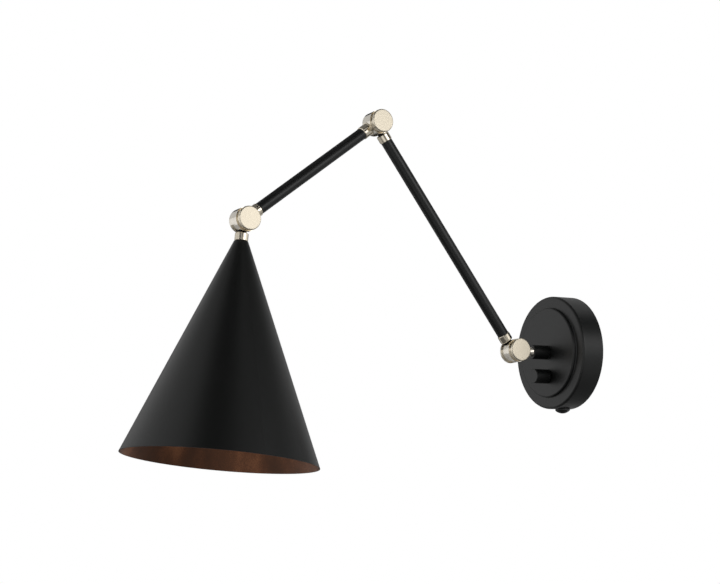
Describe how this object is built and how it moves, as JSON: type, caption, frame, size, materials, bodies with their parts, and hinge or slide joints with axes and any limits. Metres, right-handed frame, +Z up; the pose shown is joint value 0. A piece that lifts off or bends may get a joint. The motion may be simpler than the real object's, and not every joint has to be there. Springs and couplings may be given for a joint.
{
  "type": "accordion wall lamp",
  "caption": "Wall lamp with a round canopy, slim arms that fold on disc knuckles, a cone shade over a screw lamp holder, and a rotary switch knob on the canopy.",
  "frame": {"origin": "centre of the canopy and of the bracket screws, on the wall plane", "axes": "+Z up; -Y out from the wall into the room; X along the three arm hinges, the knuckle caps facing +X"},
  "size_m": [0.1906, 0.5096, 0.3692],
  "materials": {
    "black_paint": "fine satin black powder coat",
    "shade_paint": "fine satin black powder coat outside, bronze inside",
    "nickel": "polished warm nickel plate",
    "nickel_cap": "satin warm nickel plate",
    "zinc_steel": "bright zinc plate",
    "brass": "turned brass",
    "nickel_shell": "nickel plated sheet",
    "spring_steel": "blued spring steel",
    "washer_plastic": "natural nylon",
    "black_plastic": "black thermoset",
    "terminal_plastic": "off-white nylon",
    "ceramic": "glazed porcelain"
  },
  "bodies": {
    "wall": {"canopy": "black_paint", "wall_bracket": "zinc_steel", "thumb_screw": "black_paint", "locating_peg": "zinc_steel", "earth_screw": "brass", "terminal_block": "terminal_plastic", "terminal_screws": "brass", "stem_pipe": "zinc_steel", "stem_washer": "zinc_steel", "stem_nut": "zinc_steel", "stem": "black_paint", "switch_body": "black_plastic", "bushing_nut": "zinc_steel", "wall_knuckle_barrel": "nickel", "wall_knuckle_washers": "washer_plastic", "wall_knuckle_clamp_ring": "nickel", "wall_knuckle_spring": "spring_steel", "wall_knuckle_screw": "zinc_steel", "wall_knuckle_cap": "nickel_cap"},
    "knob": {"switch_shaft": "zinc_steel", "knob": "black_paint", "knob_grub_screw": "zinc_steel"},
    "lower_arm": {"wall_knuckle_rotor": "nickel", "lower_arm_wall_ferrule": "nickel", "lower_arm_tube": "black_paint", "lower_arm_elbow_ferrule": "nickel", "elbow_knuckle_rotor": "nickel"},
    "upper_arm": {"elbow_knuckle_barrel": "nickel", "elbow_knuckle_washers": "washer_plastic", "elbow_knuckle_clamp_ring": "nickel", "elbow_knuckle_spring": "spring_steel", "elbow_knuckle_screw": "zinc_steel", "elbow_knuckle_cap": "nickel_cap", "upper_arm_elbow_ferrule": "nickel", "upper_arm_tube": "black_paint", "upper_arm_shade_ferrule": "nickel", "shade_knuckle_barrel": "nickel", "shade_knuckle_washers": "washer_plastic", "shade_knuckle_clamp_ring": "nickel", "shade_knuckle_spring": "spring_steel", "shade_knuckle_screw": "zinc_steel", "shade_knuckle_cap": "nickel_cap"},
    "shade": {"shade_knuckle_rotor": "nickel", "shade_ferrule": "nickel", "shade": "shade_paint", "shade_seat": "zinc_steel", "shade_nut": "zinc_steel", "holder_cap": "nickel_shell", "holder_sleeve": "nickel_shell", "holder_insulator": "ceramic", "screw_shell": "brass", "centre_contact": "brass"}
  },
  "joints": [
    {"name": "wall_knuckle_hinge", "type": "hinge", "parent": "wall", "child": "lower_arm", "pos_m": [0, -0.0725, 0], "axis": [-1, 0, 0], "range_deg": [-54.9, 30.1]},
    {"name": "elbow_knuckle_hinge", "type": "hinge", "parent": "lower_arm", "child": "upper_arm", "pos_m": [0, -0.2335, 0.22908], "axis": [-1, 0, 0], "range_deg": [-18.75, 86.25]},
    {"name": "shade_knuckle_hinge", "type": "hinge", "parent": "upper_arm", "child": "shade", "pos_m": [0, -0.38653, 0.11647], "axis": [-1, 0, 0], "range_deg": [-33.35, 35.65]},
    {"name": "switch_knob_turn", "type": "hinge", "parent": "wall", "child": "knob", "pos_m": [0, -0.03, -0.0256], "axis": [0, -1, 0], "range_deg": [0, 90]}
  ]
}
